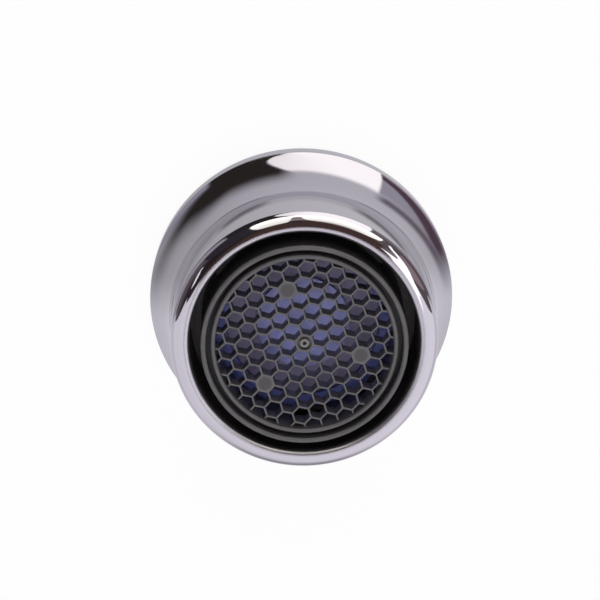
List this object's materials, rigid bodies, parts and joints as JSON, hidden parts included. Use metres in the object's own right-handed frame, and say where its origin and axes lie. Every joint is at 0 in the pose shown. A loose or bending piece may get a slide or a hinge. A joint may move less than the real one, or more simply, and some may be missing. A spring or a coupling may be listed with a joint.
{
  "type": "tap aerator",
  "caption": "Round chrome tap aerator: flared shell with a female inlet thread, holding a grey insert with a honeycomb outlet, blue splash plate and inlet sieve.",
  "frame": {"origin": "centre of the inlet rim face, which the part stands on", "axes": "+Z along the water's way, from the inlet thread to the honeycomb outlet; +X and +Y lie in the rim face"},
  "size_m": [0.0264, 0.0264, 0.0145],
  "materials": {
    "chrome_plating": "polished chrome plating on brass",
    "black_rubber": "matt moulded rubber",
    "grey_plastic": "satin moulded acetal",
    "blue_plastic": "smooth moulded acetal",
    "violet_grey_plastic": "satin moulded acetal",
    "white_plastic": "satin moulded acetal"
  },
  "bodies": {
    "root": {"shell": "chrome_plating", "sealing_washer": "black_rubber", "insert_housing": "grey_plastic", "diffuser_ring": "blue_plastic", "splash_disc": "blue_plastic", "regulator_body": "violet_grey_plastic", "regulator_o_ring": "black_rubber", "regulator_cap": "violet_grey_plastic", "filter_screen": "white_plastic"}
  },
  "joints": []
}
